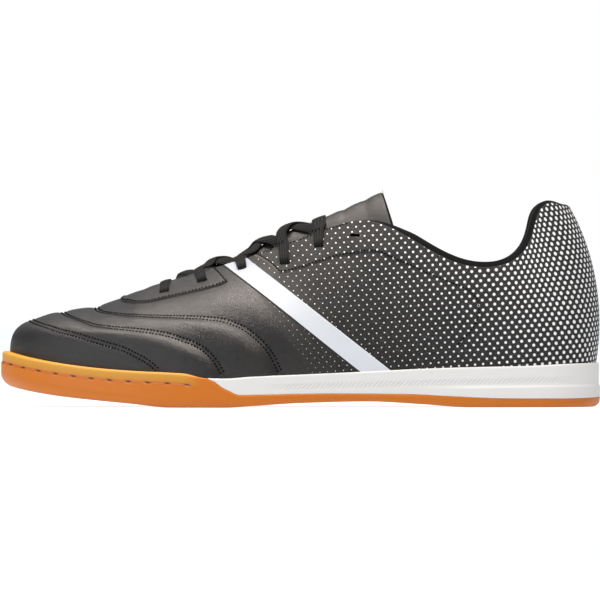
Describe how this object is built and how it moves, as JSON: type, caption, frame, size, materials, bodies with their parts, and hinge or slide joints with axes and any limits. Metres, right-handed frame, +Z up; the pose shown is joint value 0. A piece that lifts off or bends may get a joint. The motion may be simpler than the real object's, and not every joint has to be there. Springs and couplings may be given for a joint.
{
  "type": "indoor soccer shoe",
  "caption": "Low indoor soccer shoe for the left foot: leather upper, padded collar, tongue and flat laces on a gum outsole with a white midsole.",
  "frame": {"origin": "point on the floor under the middle of the heel, on the outsole's flat heel patch", "axes": "+X from toe to heel, +Y towards the inner (medial) side of the foot, +Z up"},
  "size_m": [0.2895, 0.1054, 0.1042],
  "materials": {
    "gum_rubber": "satin",
    "white_foam": "matte",
    "black_leather": "satin",
    "stay_leather": "satin",
    "tongue_leather": "satin",
    "lining_cloth": "matte",
    "insole_cloth": "matte",
    "lace_cord": "matte"
  },
  "bodies": {
    "root": {"outsole": "gum_rubber", "midsole": "white_foam", "upper": "black_leather", "insole": "insole_cloth", "tongue": "tongue_leather", "collar_lining": "lining_cloth", "front_lace_stay": "stay_leather", "rear_lace_stay_outer": "stay_leather", "rear_lace_stay_inner": "stay_leather", "lace_bar_front": "lace_cord", "lace_cross_1": "lace_cord", "lace_cross_2": "lace_cord", "lace_cross_3": "lace_cord", "lace_cross_4": "lace_cord", "lace_bar_top": "lace_cord"}
  },
  "joints": []
}
